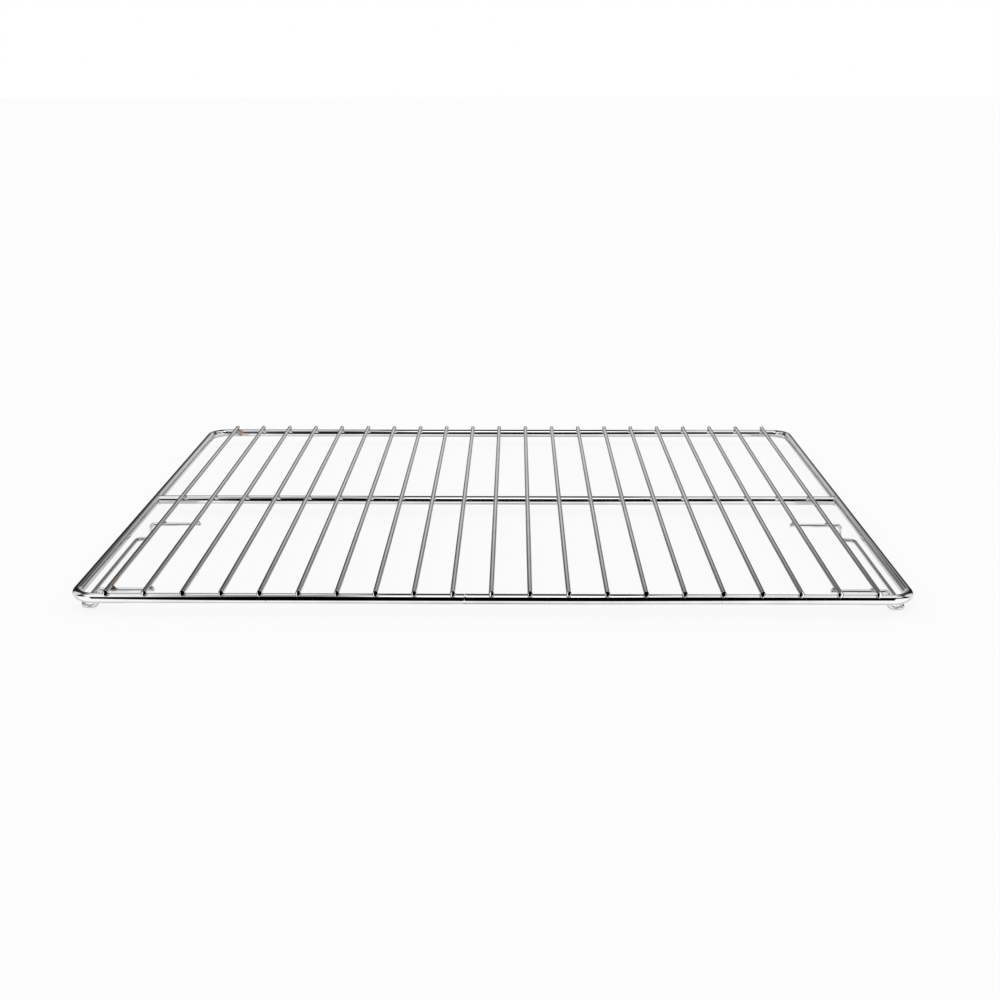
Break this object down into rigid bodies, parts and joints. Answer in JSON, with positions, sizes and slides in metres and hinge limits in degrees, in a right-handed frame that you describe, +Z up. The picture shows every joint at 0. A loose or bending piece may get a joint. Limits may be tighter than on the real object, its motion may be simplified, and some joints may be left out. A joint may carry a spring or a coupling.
{
  "type": "oven shelf rack",
  "caption": "Flat chrome-plated wire shelf for an oven: bent rod frame with a cross rail, a row of slats on top and bent guide wires under the side rails.",
  "frame": {"origin": "under the middle of the rectangular frame, at the level of the guide wires' underside", "axes": "+X to the right along the width, +Y from the front rail to the rear rail, +Z up"},
  "size_m": [0.486, 0.388, 0.0153],
  "materials": {
    "chrome_plate": "bright chrome plate on steel wire, with small rust stains at two welds"
  },
  "bodies": {
    "root": {"frame_rod": "chrome_plate", "cross_rail": "chrome_plate", "slat_01": "chrome_plate", "slat_02": "chrome_plate", "slat_03": "chrome_plate", "slat_04": "chrome_plate", "slat_05": "chrome_plate", "slat_06": "chrome_plate", "slat_07": "chrome_plate", "slat_08": "chrome_plate", "slat_09": "chrome_plate", "slat_10": "chrome_plate", "slat_11": "chrome_plate", "slat_12": "chrome_plate", "slat_13": "chrome_plate", "slat_14": "chrome_plate", "slat_15": "chrome_plate", "slat_16": "chrome_plate", "slat_17": "chrome_plate", "slat_18": "chrome_plate", "slat_19": "chrome_plate", "slat_20": "chrome_plate", "slat_21": "chrome_plate", "left_guide_wire": "chrome_plate", "right_guide_wire": "chrome_plate"}
  },
  "joints": []
}
